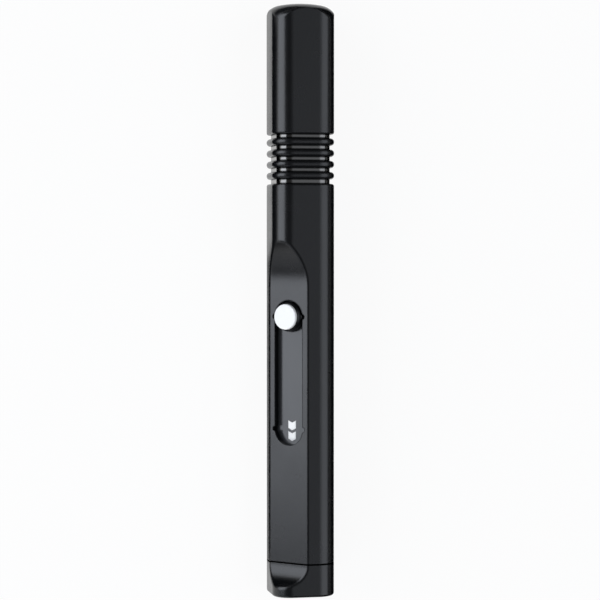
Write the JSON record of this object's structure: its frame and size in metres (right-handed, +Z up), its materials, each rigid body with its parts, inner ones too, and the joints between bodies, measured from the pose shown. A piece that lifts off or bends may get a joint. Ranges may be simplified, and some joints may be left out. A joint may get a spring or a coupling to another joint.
{
  "type": "lens cleaning pen",
  "caption": "Slim square-bodied lens cleaning pen with a slide-out brush at one end and a capped round cleaning tip at the other.",
  "frame": {"origin": "middle of the face that the pen lies on, under the middle of its length", "axes": "+Z up, +Y along the pen from the brush end to the cap end; the recess with the slide button faces up and to -X"},
  "size_m": [0.0138, 0.13, 0.0138],
  "materials": {
    "body_black": "fine satin grain, moulded",
    "neck_plated": "bright metal plating over moulded plastic",
    "carriage_black": "satin, moulded",
    "button_white": "white satin plastic",
    "seal_rubber": "black rubber",
    "liner_grey": "smooth moulded",
    "pad_felt": "felt loaded with carbon powder",
    "cushion_foam": "soft moulded elastomer",
    "tip_leather": "soft suede, black with carbon",
    "ferrule_metal": "bright drawn tube",
    "resin_amber": "cast resin",
    "bristle_hair": "soft dark goat hair"
  },
  "bodies": {
    "body": {"barrel": "body_black", "end_collar": "body_black", "ribbed_neck": "neck_plated", "neck_ring_1": "body_black", "neck_ring_2": "body_black", "neck_ring_3": "body_black", "neck_ring_4": "body_black", "neck_seal": "seal_rubber", "tip_stem": "carriage_black", "tip_cushion": "cushion_foam", "tip_skin": "tip_leather"},
    "cap": {"cap_shell": "body_black", "cap_liner": "liner_grey", "recharge_pad": "pad_felt"},
    "brush": {"brush_carriage": "carriage_black", "slide_button": "body_black", "button_disc": "button_white", "brush_stem": "carriage_black", "brush_ferrule": "ferrule_metal", "bristle_plug": "resin_amber", "brush_bristles": "bristle_hair"}
  },
  "joints": [
    {"name": "cap_slide", "type": "slide", "parent": "body", "child": "cap", "axis": [0, 1, 0], "range_m": [0, 0.03]},
    {"name": "brush_slide", "type": "slide", "parent": "body", "child": "brush", "axis": [0, -1, 0], "range_m": [0, 0.0247]}
  ]
}
